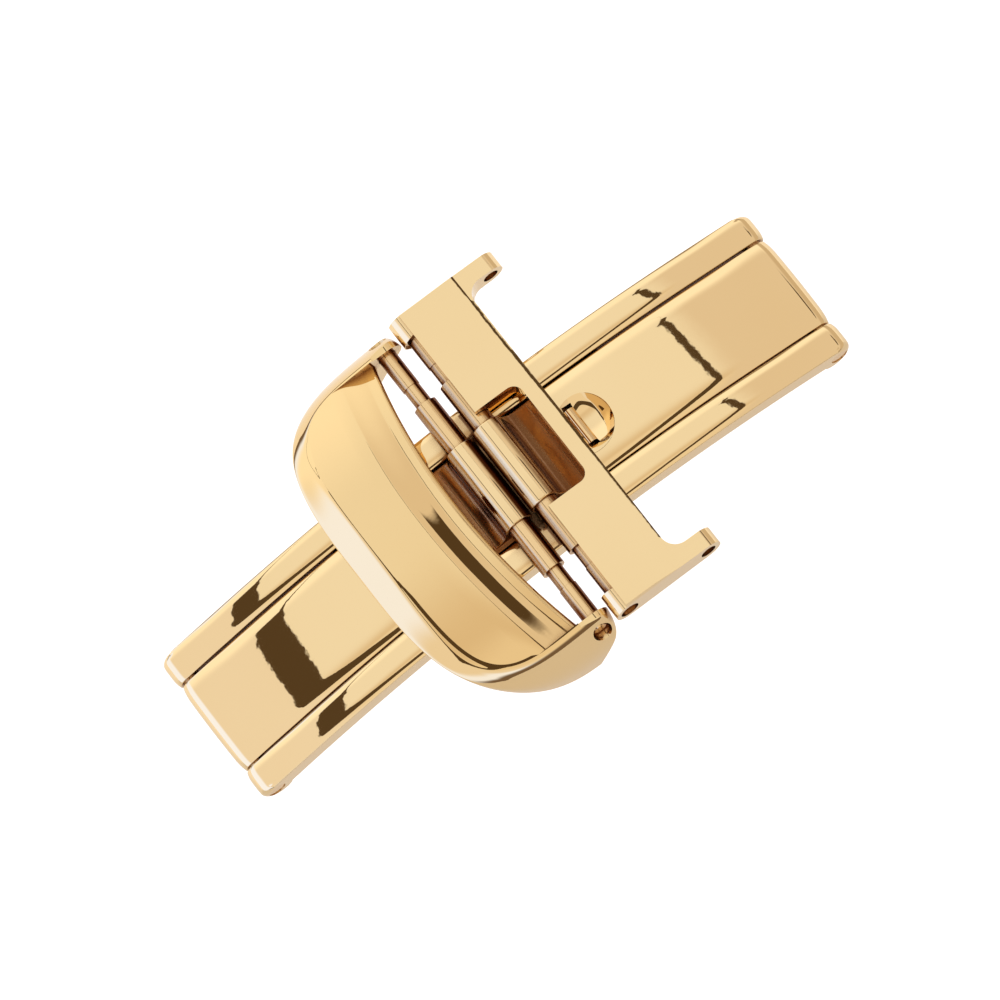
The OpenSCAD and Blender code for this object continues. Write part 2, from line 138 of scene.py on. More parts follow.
def makeCamera():
    # right, up and back are the photograph's axes: pitch about Y, lean about X, then the picture's roll
    lean, pitch, roll = (math.radians(view[key]) for key in ("lean", "pitch", "roll"))
    ahead = Vector((math.cos(pitch), 0, -math.sin(pitch)))
    upright = Vector((math.sin(pitch), 0, math.cos(pitch)))
    side = Vector((0, 1, 0))
    rise = side * math.cos(lean) + upright * math.sin(lean)
    back = -side * math.sin(lean) + upright * math.cos(lean)
    right = ahead * math.cos(roll) - rise * math.sin(roll)
    up = ahead * math.sin(roll) + rise * math.cos(roll)
    pixel = 0.001 / view["pxPerMm"]
    offRight, offDown = (place - view["picture"] / 2 for place in view["originPx"])
    centre = Vector((0, 0, view["aimZ"])) - right * offRight * pixel + up * offDown * pixel
    data = bpy.data.cameras.new("photoCamera")
    data.sensor_width = view["sensor"]
    data.lens = view["sensor"] * view["distance"] / (view["picture"] * pixel)
    data.clip_start = view["nearest"]
    camera = bpy.data.objects.new("photoCamera", data)
    turn = Matrix((right, up, back)).transposed().to_4x4()
    camera.matrix_world = Matrix.Translation(centre + back * view["distance"]) @ turn
    scene.collection.objects.link(camera)
    scene.camera = camera


# The white tent, by direction in degrees from straight up: "along" leans to the hinge at the right and
# "across" to the far side. A roof panel is framed by dark gaps, wide at the left and thin at the right.
tent = dict(
    roof=(1.0, 0.985, 0.96), near=(0.84, 0.73, 0.6), lowNear=(0.95, 0.86, 0.74), right=(0.87, 0.79, 0.72),
    left=(0.97, 0.93, 0.92), far=(1.2, 1.18, 1.14), sideLeft=(1.1, 1.3, 2.0), sideRight=(0.7, 0.6, 0.5),
    low=(0.2, 0.145, 0.11), gap=(0.1, 0.065, 0.034),
    fades=dict(  # where each colour sets in, and where it is full
        near=(14, -8), lowNear=(-8, -16), right=(0, 4), left=(0, 4),
        far=(28, 50), sideLeft=(-38, -56), sideRight=(50, 64),
    ),
    lowFade=(0.26, 0.08), lowSides=(0.8, 0.55),  # by the direction's own z and x
    leftEdge=-24.8, leftWidth=3.9, leftThin=0.8, leftBlunt=(41, 37), leftCorner=22.0, leftRim=3.0,
    leftFlare=0.1,
    rightEdge=27.3, rightWidth=0.9, rightBlunt=(36, 32), rightCorner=12.0, rightFlare=0.22,
    nearEdge=-30.0, nearCurve=0.026, nearMost=24, nearWidth=12.0, flareFrom=27.0, blur=0.1,
    door=(42.0, 50.0), doorBlur=0.6, doorSlant=0.22, doorFar=(24, 21.5), doorNear=(-3, 3),
)


def roundedOut(tree, side, near, radius):
    # Distance outside a round corner: sqrt(u^2 + v^2) - r, with u and v the parts beyond its centre
    u = mathNode(tree, "MAXIMUM", total(tree, side, radius), 0)
    v = mathNode(tree, "MAXIMUM", total(tree, near, radius), 0)
    return less(tree, mathNode(tree, "SQRT", total(tree, product(tree, u, u), product(tree, v, v))), radius)


def tentGaps(tree, along, across):
    # How far a direction is past the roof's right and left edges, and the dark of the gaps that frame it.
    # The sides open outward to the far side, and the near edge bulges by nearCurve along^2
    beyond = mathNode(tree, "MAXIMUM", less(tree, across, tent["flareFrom"]), 0)
    right = less(tree, along, tent["rightEdge"], product(tree, beyond, tent["rightFlare"]))
    left = less(tree, less(tree, tent["leftEdge"], along), product(tree, beyond, tent["leftFlare"]))
    bulge = mathNode(tree, "MINIMUM", product(tree, along, along, tent["nearCurve"]), tent["nearMost"])
    near = less(tree, total(tree, bulge, tent["nearEdge"]), across)
    # each gap lies outside the roof's round corner and inside its own rim
    leftWidth = product(tree, ramp(tree, across, *tent["leftBlunt"]), tent["leftWidth"] - tent["leftThin"])
    leftWidth = total(tree, leftWidth, tent["leftThin"])
    rightWidth = product(tree, ramp(tree, across, *tent["rightBlunt"]), tent["rightWidth"])
    blur = tent["blur"]
    gaps = []
    for side, radius, width, rim, way in (
        (right, tent["rightCorner"], rightWidth, tent["rightCorner"], 1),
        (left, tent["leftCorner"], leftWidth, tent["leftRim"], -1),
    ):
        inner = roundedOut(tree, side, near, radius)
        outer = roundedOut(tree, less(tree, side, width), less(tree, near, tent["nearWidth"]), rim)
        half = mathNode(tree, "GREATER_THAN", product(tree, along, way), 0)
        gaps.append(product(tree, ramp(tree, inner, -blur, blur), ramp(tree, outer, blur, -blur), half))
    return right, left, mathNode(tree, "MAXIMUM", *gaps)


def tentDoor(tree, along, across):
    # A dark doorway past the right gap: its outer edge leans in by slant (lean - across)
    low, high = tent["door"]
    slant = product(tree, less(tree, view["lean"], across), tent["doorSlant"])
    outer = ramp(tree, total(tree, along, slant), high, high - tent["doorBlur"])
    inner = ramp(tree, along, low, low + tent["doorBlur"])
    ends = product(tree, ramp(tree, across, *tent["doorFar"]), ramp(tree, across, *tent["doorNear"]))
    return product(tree, inner, outer, ends)


def makeTent():
    # Colour by direction: along = atan2(x, z) and across = atan2(y, z) pick the roof, a gap or a wall
    world = bpy.data.worlds.new("tent")
    scene.world = world
    world.use_nodes = True
    tree = world.node_tree
    tree.nodes.clear()
    x, y, z = splitNode(tree, addNode(tree, "ShaderNodeTexCoord").outputs["Generated"])
    along = product(tree, mathNode(tree, "ARCTAN2", x, z), 180 / math.pi)
    across = product(tree, mathNode(tree, "ARCTAN2", y, z), 180 / math.pi)
    right, left, dark = tentGaps(tree, along, across)
    dark = mathNode(tree, "MAXIMUM", dark, tentDoor(tree, along, across))
    places = dict(
        near=across, lowNear=across, right=right, left=left, far=across, sideLeft=along, sideRight=along,
    )
    colour = tent["roof"]
    for name, place in places.items():
        colour = tintNode(tree, ramp(tree, place, *tent["fades"][name]), colour, tent[name])
    fromSide = ramp(tree, mathNode(tree, "ABSOLUTE", x), *tent["lowSides"])
    colour = tintNode(tree, product(tree, ramp(tree, z, *tent["lowFade"]), fromSide), colour, tent["low"])
    colour = tintNode(tree, dark, colour, tent["gap"])
    lit = addNode(tree, "ShaderNodeBackground")
    tree.links.new(colour, lit.inputs["Color"])
    plain = addNode(tree, "ShaderNodeBackground")  # what the camera sees behind the floor
    plain.inputs["Color"].default_value = (1, 1, 1, 1)
    mix = addNode(tree, "ShaderNodeMixShader")
    tree.links.new(addNode(tree, "ShaderNodeLightPath").outputs["Is Camera Ray"], mix.inputs[0])
    tree.links.new(lit.outputs[0], mix.inputs[1])
    tree.links.new(plain.outputs[0], mix.inputs[2])
    out = addNode(tree, "ShaderNodeOutputWorld")
    tree.links.new(mix.outputs[0], out.inputs[0])


# The floor: white to the camera, darker to the gold, and so low that the opened blades swing clear of it
sheet = dict(
    half=0.6, low=-0.024, paper=(0.6, 0.57, 0.55, 1), cameraGlow=0.75,
    goldGlow=0.24, farGlow=0.3, farFade=(-0.015, 0.03),
)


def makeFloor():
    # Plain paper with a glow: cameraGlow to the camera, and goldGlow + farGlow ramp(y) in the gold
    half, low = sheet["half"], sheet["low"]
    corners = [(-half, -half, low), (half, -half, low), (half, half, low), (-half, half, low)]
    mesh = bpy.data.meshes.new("floor")
    mesh.from_pydata(corners, [], [(0, 1, 2, 3)])
    floor = bpy.data.objects.new("floor", mesh)
    scene.collection.objects.link(floor)
    paper = bpy.data.materials.new("paper")
    paper.use_nodes = True
    tree = paper.node_tree
    tree.nodes.clear()
    path = addNode(tree, "ShaderNodeLightPath")
    place = splitNode(tree, addNode(tree, "ShaderNodeTexCoord").outputs["Object"])
    far = product(tree, ramp(tree, place[1], *sheet["farFade"]), sheet["farGlow"])
    mirrored = product(tree, path.outputs["Is Glossy Ray"], total(tree, far, sheet["goldGlow"]))
    seen = product(tree, path.outputs["Is Camera Ray"], sheet["cameraGlow"])
    diffuse = addNode(tree, "ShaderNodeBsdfDiffuse")
    diffuse.inputs["Color"].default_value = sheet["paper"]
    glow = addNode(tree, "ShaderNodeEmission")
    tree.links.new(total(tree, seen, mirrored), glow.inputs["Strength"])
    both = addNode(tree, "ShaderNodeAddShader")
    tree.links.new(diffuse.outputs[0], both.inputs[0])
    tree.links.new(glow.outputs[0], both.inputs[1])
    out = addNode(tree, "ShaderNodeOutputMaterial")
    tree.links.new(both.outputs[0], out.inputs["Surface"])
    mesh.materials.append(paper)


# Hand-polished plate. Scales are waves per metre, heights are in millimetres and places in metres.
polish = dict(
    broadScale=240, broadDetail=1, broadHeight=0.011, fineScale=1500, fineDetail=2, fineHeight=0.0011,
    hairScale=(900, 9000, 4000), hairDetail=4, driftScale=90, driftDetail=2, shadeSamples=6,
    # copper and brown are painted shade, laid in crevices and gaps where ambient occlusion finds the surface
    # shaded
    copper=(0.27, 0.09, 0.022), copperShade=(0.75, 0.35), copperRough=0.3,
    brown=(0.1, 0.035, 0.01), brownShade=(0.18, 0.05),
    pocketSides=(0.0042, 0.0048), pocketTop=(0.0053, 0.0049), hemmedShade=(0.98, 0.86),
    # flank is the colour of painted shade down the sides of the bars and barrels
    flank=(0.16, 0.05, 0.012), flankTurn=(0.3, 0.62), flankFrom=(0.0044, 0.0052), flankOpen=0.3,
)
# each finish sets the strength and reach of its painted shade, and how much of it lies down the flanks
goldLook = dict(
    base=(0.9, 0.7, 0.4, 1), deep=(0.87, 0.65, 0.345, 1),
    ripple=1.0, hairlines=0.012, gloss=0.012, grime=0.75, reach=0.0011, flank=0.0,
)
finishes = dict(
    polishedGold=goldLook,
    barGold=dict(
        base=(0.87, 0.64, 0.35, 1), deep=(0.8, 0.55, 0.27, 1),
        ripple=0.6, hairlines=0.05, gloss=0.03, grime=0.85, reach=0.0022, flank=1.0,
    ),
    springSteel=dict(
        base=(0.66, 0.65, 0.63, 1), deep=(0.55, 0.54, 0.53, 1),
        ripple=0.6, hairlines=0.12, gloss=0.16, grime=0.5, reach=0.001, flank=0.0,
    ),
    domeGold=dict(goldLook, base=(0.88, 0.66, 0.35, 1), deep=(0.83, 0.6, 0.29, 1)),
    leafGold=dict(goldLook, grime=0.95, reach=0.0028, flank=0.9),
)


def polishGroup():
    # Broad ripples from the buffing wheel, hairline marks, and painted shade in copper in the crevices and
    # down the bars' flanks
    group = bpy.data.node_groups.new("polishedPlate", "ShaderNodeTree")
    for name in ("Base", "Deep"):
        group.interface.new_socket(name, in_out="INPUT", socket_type="NodeSocketColor")
    # the last three inputs set the painted shade: its strength, its reach and its share down the flanks
    for name in ("Ripple", "Hairlines", "Gloss", "Grime", "Reach", "Flank"):
        group.interface.new_socket(name, in_out="INPUT", socket_type="NodeSocketFloat")
    results = dict(Color="NodeSocketColor", Roughness="NodeSocketFloat", Normal="NodeSocketVector")
    for name, kind in results.items():
        group.interface.new_socket(name, in_out="OUTPUT", socket_type=kind)
    look = addNode(group, "NodeGroupInput").outputs
    sink = addNode(group, "NodeGroupOutput").inputs
    coords = addNode(group, "ShaderNodeTexCoord").outputs
    broad = noiseNode(group, coords["Object"], polish["broadScale"], polish["broadDetail"])
    fine = noiseNode(group, coords["Object"], polish["fineScale"], polish["fineDetail"])
    drift = noiseNode(group, coords["Object"], polish["driftScale"], polish["driftDetail"])
    stretch = addNode(group, "ShaderNodeMapping")
    stretch.inputs["Scale"].default_value = polish["hairScale"]
    group.links.new(coords["Object"], stretch.inputs["Vector"])
    hair = noiseNode(group, stretch.outputs[0], 1, polish["hairDetail"])
    # the height of the ripples
    waves = product(group, broad, polish["broadHeight"])
    waves = total(group, waves, product(group, fine, polish["fineHeight"]))
    bump = addNode(group, "ShaderNodeBump")
    bump.inputs["Distance"].default_value = 0.001
    bump.inputs["Strength"].default_value = 1
    group.links.new(product(group, waves, look["Ripple"]), bump.inputs["Height"])
    # painted shade: copper where the surface is shaded, but on the bars and leaves only in the pocket near
    # the middle
    occlusion = addNode(group, "ShaderNodeAmbientOcclusion", samples=polish["shadeSamples"])
    group.links.new(look["Reach"], occlusion.inputs["Distance"])
    shade = occlusion.outputs["AO"]
    place = splitNode(group, coords["Object"])
    outside = ramp(group, mathNode(group, "ABSOLUTE", place[0]), *polish["pocketSides"])
    hemmed = ramp(group, shade, *polish["hemmedShade"])
    pocket = product(group, less(group, 1, outside), ramp(group, place[2], *polish["pocketTop"]))
    inside = product(group, pocket, hemmed, look["Flank"])
    copper = product(group, ramp(group, shade, *polish["copperShade"]), look["Grime"])
    copper = product(group, copper, less(group, 1, product(group, outside, look["Flank"])))
    copper = mathNode(group, "MAXIMUM", copper, inside)
    # painted shade: dark brown deep in the narrowest gaps
    brown = product(group, ramp(group, shade, *polish["brownShade"]), look["Grime"])
    # painted shade darkens the bars and barrels down both flanks, where the surface turns sideways, standing
    # in for the dark that they reflect
    turned = mathNode(group, "ABSOLUTE", splitNode(group, coords["Normal"])[0])
    flank = ramp(group, turned, *polish["flankTurn"])
    flank = product(group, flank, ramp(group, place[2], *polish["flankFrom"]))
    closed = total(group, product(group, hemmed, 1 - polish["flankOpen"]), polish["flankOpen"])
    flank = product(group, flank, look["Flank"], closed)
    colour = tintNode(group, drift, look["Base"], look["Deep"])
    colour = tintNode(group, copper, colour, polish["copper"])
    colour = tintNode(group, brown, colour, polish["brown"])
    colour = tintNode(group, flank, colour, polish["flank"])
    rough = total(group, look["Gloss"], product(group, look["Hairlines"], hair))
    rough = total(group, rough, product(group, copper, polish["copperRough"]))
    group.links.new(colour, sink["Color"])
    group.links.new(rough, sink["Roughness"])
    group.links.new(bump.outputs[0], sink["Normal"])
    return group


plate = polishGroup()


def makeFinish(name):
    # One metal: the polished plate's colour, roughness and ripples on a fully metallic surface
    material = bpy.data.materials.new(name)
    material.use_nodes = True
    tree = material.node_tree
    shader = tree.nodes["Principled BSDF"]
    shader.inputs["Metallic"].default_value = 1
    group = addNode(tree, "ShaderNodeGroup", node_tree=plate)
    for key, value in finishes[name].items():
        group.inputs[key.capitalize()].default_value = value
    tree.links.new(group.outputs["Color"], shader.inputs["Base Color"])
    tree.links.new(group.outputs["Roughness"], shader.inputs["Roughness"])
    tree.links.new(group.outputs["Normal"], shader.inputs["Normal"])
    return material


made = {name: makeFinish(name) for name in finishes}
slotFinish = dict(polished_gold="polishedGold", gold_bars="barGold", spring_steel="springSteel")
kindFinish = dict(hinge_pin="barGold", catch_cup="leafGold")  # plated like the bars, and set in the leaves
for part in frame["record"]["subparts"]:
    kind = part["node"].split("_", 1)[1]
    mesh = frame["nodes"][part["node"]].data
    mesh.materials.clear()
    mesh.materials.append(made[kindFinish.get(kind, slotFinish[part["material_slot"]])])


def gridFaces(rows, columns):
    # Quads between the rings of a grid that closes round its columns
    index = np.arange(rows * columns).reshape(rows, columns)
    ahead = np.roll(index, -1, axis=1)
    return np.stack([index[:-1], ahead[:-1], ahead[1:], index[1:]], axis=-1).reshape(-1, 4).tolist()


def closedTube(name, rings):
    # A closed mesh from rings of points, with a flat face at each end
    rings = np.asarray(rings, float)
    rows, columns = rings.shape[:2]
    first, last = list(range(columns)), list(range((rows - 1) * columns, rows * columns))
    mesh = bpy.data.meshes.new(name)
    mesh.from_pydata(rings.reshape(-1, 3).tolist(), [], gridFaces(rows, columns) + [first[::-1], last])
    work = bmesh.new()
    work.from_mesh(mesh)
    bmesh.ops.recalc_face_normals(work, faces=work.faces)
    work.to_mesh(mesh)
    work.free()
    piece = bpy.data.objects.new(name, mesh)
    scene.collection.objects.link(piece)
    return piece


def prism(name, outline, along, low, high):
    # An outline drawn square to an axis (0 for x, 1 for y, 2 for z), swept from low to high
    return closedTube(name, [[np.insert(point, along, place) for point in outline] for place in (low, high)])


def arc(centre, radius, start, stop, count):
    # Points on a circle, angles in degrees
    turn = np.radians(np.linspace(start, stop, count))
    return [(centre[0] + radius * math.cos(a), centre[1] + radius * math.sin(a)) for a in turn]


def applied(piece):
    # The piece's mesh with its modifiers worked out
    bpy.context.view_layer.update()
    return bpy.data.meshes.new_from_object(piece.evaluated_get(bpy.context.evaluated_depsgraph_get()))


def shadeSmooth(mesh, limit):
    # Smooth everywhere but at edges that turn more than the limit, in degrees
    work = bmesh.new()
    work.from_mesh(mesh)
    bmesh.ops.recalc_face_normals(work, faces=work.faces)
    for face in work.faces:
        face.smooth = True
    for edge in work.edges:
        edge.smooth = len(edge.link_faces) == 2 and edge.calc_face_angle(0) < math.radians(limit)
    work.to_mesh(mesh)
    work.free()


def carve(blank, cutters, limit):
    # Joins each tool named "add...", keeps what a "within..." tool shares, and cuts with the others
    for cutter in cutters:
        cut = blank.modifiers.new(cutter.name, "BOOLEAN")
        cut.operation = dict(add="UNION", wit="INTERSECT").get(cutter.name[:3], "DIFFERENCE")
        cut.solver = "EXACT"
        cut.object = cutter
    mesh = applied(blank)
    for piece in [modifier.object for modifier in blank.modifiers] + [blank]:
        bpy.data.objects.remove(piece)
    shadeSmooth(mesh, limit)
    return mesh


def roundEdges(piece, width, limit):
    # A live round on every edge that turns more than the limit, in degrees
    soft = piece.modifiers.new("softEdges", "BEVEL")
    soft.width = width
    soft.segments = 4
    soft.limit_method = "ANGLE"
    soft.angle_limit = math.radians(limit)
    return soft


def hangPiece(name, mesh, node, body, tube=None, lean=0, finish="polishedGold"):
    # A piece drawn in millimetres about the origin, or about a spring bar: leaned, then moved to its tube
    spot = Vector() if tube is None else sum(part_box(tube), Vector()) / 2
    turn = Matrix.Rotation(math.radians(lean), 4, "Y")
    mesh.transform(Matrix.Translation(spot) @ turn @ Matrix.Scale(0.001, 4))
    mesh.materials.clear()
    mesh.materials.append(made[finish])
    piece = bpy.data.objects.new(name, mesh)
    scene.collection.objects.link(piece)
    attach(piece, body)
    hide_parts(node)
    print(name, len(mesh.polygons), "faces")
    return piece


# The domed cover, in millimetres about its own bar: x to the rear, y across and z up, before it is leaned
hood = dict(
    length=8.25, rear=1.3, half=10.499, power=3.2, faceLength=6.8, faceRear=1.1, faceHalf=9.3,
    facePower=4.6, top=2.6, rise=1.45, rimZ=1.8, rimPower=7, drop=2.85, lip=0.2, lipRings=6, wallRings=26,
    wallBend=(1.15, 1.6), middle=3, columns=400, softness=5, lean=5, smooth=32,
    facet=(0.1, 0.27), facetFrom=(-3, 0), facetSlope=9.0,
    gapHalf=9.1, thick=1.1, corner=0.9, lobe=0.95, hole=0.55, rearMid=1.85, rearEnd=0.8, rollNose=0.35,
    rollReach=(0, 0.4, 0.75, 1.45, 1.95, 2.6), rollSlope=(14, 16, 27.5, 27.5, 13, 0), rollLift=0.002,
)
archRadius = (hood["faceHalf"] ** 2 + hood["rise"] ** 2) / (2 * hood["rise"])


def archHeight(y):
    # Height of the upper face, an arc across the cover
    return hood["top"] - archRadius + np.sqrt(archRadius ** 2 - y ** 2)


def superCurve(angle, front, rear, half, power):
    # Outline about the bar: |x / reach|^power + |y / half|^power = 1, with a longer reach to the front
    c, s = np.cos(angle), np.sin(angle)
    reach = np.where(c < 0, front, rear)
    return reach * np.sign(c) * np.abs(c) ** (2 / power), half * np.sign(s) * np.abs(s) ** (2 / power)


def hoodBlank():
    # Rings from the lip up the wall, softened at the crease, then over the arched face to its middle
    angle = (np.arange(hood["columns"]) + 0.5) * 2 * math.pi / hood["columns"]
    rimX, rimY = superCurve(angle, hood["length"], hood["rear"], hood["half"], hood["power"])
    face = [hood[key] for key in ("faceLength", "faceRear", "faceHalf", "facePower")]
    faceX, faceY = superCurve(angle, *face)
    across = np.abs(rimY) / hood["half"]
    rimLevel = hood["rimZ"] - (hood["rimZ"] + hood["drop"]) * across ** hood["rimPower"]
    faceLevel = archHeight(faceY)
    lows = np.linspace(-hood["lip"], 0, hood["lipRings"] + 1)[:-1]
    rings = [np.stack([rimX, rimY, rimLevel + low], axis=1) for low in lows]
    bend, more = hood["wallBend"]
    for s in np.linspace(0, 1, hood["wallRings"]):
        inset = s ** (bend + more * across ** 4)
        x, y = rimX + (faceX - rimX) * inset, rimY + (faceY - rimY) * inset
        rings.append(np.stack([x, y, rimLevel + (faceLevel - rimLevel) * s], axis=1))
    crease = len(rings) - 1
    # the face's rings as shares of its outline: dense inside the crease, then wider apart
    dense, wider = 1 - 0.0045 * np.arange(1, 17), 0.928 - 0.016 * np.arange(1, 21)
    for k in np.concatenate([dense, wider, np.linspace(0.57, 0.04, 12)]):
        y = faceY * k
        rings.append(np.stack([(faceX + hood["middle"]) * k - hood["middle"], y, archHeight(y)], axis=1))
    rings = np.array(rings)
    # a narrow facet along the crease, turned a little further down than the face and wider at the near end
    edge = rings[crease, :, :2]
    tangent = np.roll(edge, -1, axis=0) - np.roll(edge, 1, axis=0)
    outward = np.stack([tangent[:, 1], -tangent[:, 0]], axis=1)
    outward = outward / np.linalg.norm(tangent, axis=1, keepdims=True)
    inward = np.abs(((rings[crease:, :, :2] - edge) * outward).sum(axis=2))
    width = np.interp(faceY, hood["facetFrom"], hood["facet"][::-1])
    rings[crease:, :, 2] -= np.maximum(width - inward, 0) * math.tan(math.radians(hood["facetSlope"]))
    for low, high in ((crease - 7, crease + 5), (2, 11)):
        for turn in range(hood["softness"]):  # each ring is blended with its neighbours, 1 : 2 : 1
            rings[low:high] = (rings[low - 1:high - 1] + 2 * rings[low:high] + rings[low + 1:high + 1]) / 4
    apex = np.zeros((1, hood["columns"], 3)) + (-hood["middle"], 0, -hood["drop"] - 1)
    apex[0, :, :2] += 0.01 * np.stack([np.cos(angle), np.sin(angle)], axis=1)
    return closedTube("coverBlank", np.concatenate([apex, rings]))


def cheekTool():
    # The space behind the cheeks: everything to the rear of their round ends about the bar
    rear = 0.1 - hood["rearEnd"]
    low = -hood["drop"] - hood["lip"] - 0.5
    back = [(rear, 6), (rear, hood["lobe"] * 1.1)] + arc((0, 0), hood["lobe"], 62, -38, 30)
    return prism("behindCheeks", back + [(-1.7, low), (-1.7, low - 2), (9, low - 2), (9, 6)], 1, -13, 13)


def archTool():
    # The strap's way under the cover: an arched ceiling with a round corner at each cheek
    inner = archRadius - hood["thick"]
    centre = hood["top"] - archRadius
    cornerY = hood["gapHalf"] - hood["corner"]
    cornerZ = centre + math.sqrt((inner - hood["corner"]) ** 2 - cornerY ** 2)
    turn = math.degrees(math.acos(cornerY / (inner - hood["corner"])))
    section = [(hood["gapHalf"], -8)] + arc((cornerY, cornerZ), hood["corner"], 0, turn, 12)
    section += arc((0, centre), inner, turn + 0.4, 179.6 - turn, 60)
    section += arc((-cornerY, cornerZ), hood["corner"], 180 - turn, 180, 12) + [(-hood["gapHalf"], -8)]
    return prism("strapArch", section, 0, -14, 5)


def rollTool():
    # The rear edge: an arc in plan, whose face rolls down to a round nose; its fall sums its slopes
    deep = hood["rearMid"] - hood["rearEnd"]
    sweep = (hood["gapHalf"] ** 2 + deep ** 2) / (2 * deep)
    away = np.linspace(0, hood["rollReach"][-1], 40)  # from the nose
    slope = np.tan(np.radians(np.interp(away, hood["rollReach"], hood["rollSlope"])))
    slope = np.convolve(np.pad(slope, 4, mode="edge"), np.ones(9) / 9, "valid")
    height = np.concatenate([[0], np.cumsum((slope[1:] + slope[:-1]) / 2 * np.diff(away))])
    steep = math.atan(slope[0])
    radius = hood["rollNose"]
    turn = np.linspace(math.pi / 2, steep, 14)
    back = np.concatenate([radius * (1 - np.sin(turn)), radius * (1 - math.sin(steep)) + away[1:]])
    up = np.concatenate([radius * (np.cos(turn) - math.cos(steep)), height[1:]])
    rings = []
    for y in np.linspace(-hood["gapHalf"], hood["gapHalf"], 120):
        edge = sweep - hood["rearMid"] - math.sqrt(sweep ** 2 - y ** 2)
        level = archHeight(y) + hood["rollLift"] - height[-1]
        roll = [(edge - far, y, level + rise) for far, rise in zip(back, up)]
        rings.append([(edge, y, -6)] + roll + [(roll[-1][0], y, 5), (5, y, 5), (5, y, -6)])
    return closedTube("rearRoll", rings)


barHole = prism("barHole", arc((0, 0), hood["hole"], 0, 357, 96), 1, -13, 13)
hoodMesh = carve(hoodBlank(), [cheekTool(), archTool(), rollTool(), barHole], hood["smooth"])
hangPiece("domedCover", hoodMesh, "buckle_cover", "cover", "cover_bar_tube", -hood["lean"], "domeGold")

# The bracket, in millimetres about its own bar: x to the horns, y across and z up, before it is leaned
yoke = dict(
    out=10.1, hornIn=9.1, earIn=8.8, length=3.55, top=1.25, thick=1.15, left=-0.1, ear=0.82, horn=0.78,
    strapBar=5.15, strapHole=0.45, barHole=0.55, groove=0.76, notchHalf=3.24, notchCorner=0.6,
    bridge=0.95, root=0.9, edge=0.45, lean=3.5, bend=0.0325, bendFrom=1.0, bow=0.002,
    smooth=30, soft=0.16, softLimit=38,
)


def bracketPlan():
    # Plan of the bracket from its left edge round the horns, with the notch round the barrel
    halves = []
    radius, out = yoke["notchCorner"], yoke["out"]
    for side in (1, -1):
        corner = (yoke["length"] - yoke["bridge"] - radius, yoke["notchHalf"] - radius)
        notch = [(-2, yoke["notchHalf"])] + arc(corner, radius, 90, 0, 14)
        rootAt = (yoke["length"] + yoke["root"], yoke["hornIn"] - yoke["root"])
        root = arc(rootAt, yoke["root"], 90, 180, 24)
        for path in (notch, [(-2, out), (8, out), (8, yoke["hornIn"])] + root):
            halves.append([(x, side * y) for x, y in path])
    notchUp, armUp, notchDown, armDown = halves
    return armUp + armDown[::-1] + notchDown + notchUp[::-1]


def bracketTools():
    # The shared plan and end section, then the space under the plate, the bar's groove and the holes
    yield prism("withinPlan", bracketPlan(), 2, -4, 4)
    out, top, edge, ear = yoke["out"], yoke["top"], yoke["edge"], yoke["earIn"]
    section = [(-out, -5), (out, -5)] + arc((out - edge, top - edge), edge, 0, 90, 12)
    section += arc((edge - out, top - edge), edge, 90, 180, 12)
    yield prism("withinEnds", section, 0, -9, 9)
    under, left = top - yoke["thick"], yoke["left"]
    space = [(-5, -5), (9, -5), (9, under), (left, under), (left, 5), (-5, 5)]
    yield prism("underPlate", space, 1, -ear, ear)
    yield prism("barGroove", arc((0, 0), yoke["groove"], 0, 356, 72), 1, -ear, ear)
    yield prism("barHoles", arc((0, 0), yoke["barHole"], 0, 356, 72), 1, -12, 12)
    yield prism("strapHoles", arc((yoke["strapBar"], 0), yoke["strapHole"], 0, 356, 72), 1, -12, 12)


def makeBracket():
    # Side view of an ear and a horn, swept across under a top that falls by bend (x - start)^2 + bow y^2
    lift = math.degrees(math.asin(yoke["left"] / yoke["ear"]))
    side = arc((0, 0), yoke["ear"], 90 - lift, 270, 40)
    side += arc((yoke["strapBar"], 0), yoke["horn"], -90, 78, 40)
    x = np.linspace(yoke["length"], yoke["left"], 30)
    rings = []
    for y in np.linspace(-yoke["out"], yoke["out"], 60):
        z = yoke["top"] - yoke["bend"] * np.maximum(x - yoke["bendFrom"], 0) ** 2 - yoke["bow"] * y * y
        rings.append(np.insert(side + list(zip(x, z)), 1, y, axis=1))
    mesh = carve(closedTube("bracketBlank", rings), list(bracketTools()), yoke["smooth"])
    bracket = hangPiece("lugYoke", mesh, "lug_bracket", "bracket", "bracket_bar_tube", yoke["lean"])
    roundEdges(bracket, yoke["soft"] / 1000, yoke["softLimit"]).harden_normals = True


makeBracket()

# The curved base and its two leaves, in millimetres: an arc from hinge to hinge, rolled down at its edges
span = dict(
    hingeX=18.75, hingeZ=0.85, knuckle=0.85, radius=59.7, pinHole=0.505, catchX=5.65, neck=0.43,
    catchWidth=2.21, cup=1.755, webAngle=8.67, webHalf=4.0, webTop=1.2, webDeep=2.0,
    corner=0.35, fadeStart=15.4, fade=0.4, smooth=30,
)
span["centreZ"] = span["hingeZ"] - math.sqrt((span["radius"] - span["knuckle"]) ** 2 - span["hingeX"] ** 2)
span["end"] = math.degrees(math.asin(span["hingeX"] / (span["radius"] - span["knuckle"])))
rail = dict(inner=2.98, outer=4.7, deep=1.4, crown=0.02, flat=0.1, roll=0.38, edge=0.08)
leaf = dict(
    half=2.87, deep=1.1, crown=0.011, flat=1.7, roll=0.12, edge=0.08,
    barrelHalf=2.65, barrel=0.875, barrelRound=0.1, foot=0.7, bore=0.71, pinHole=0.53,
)


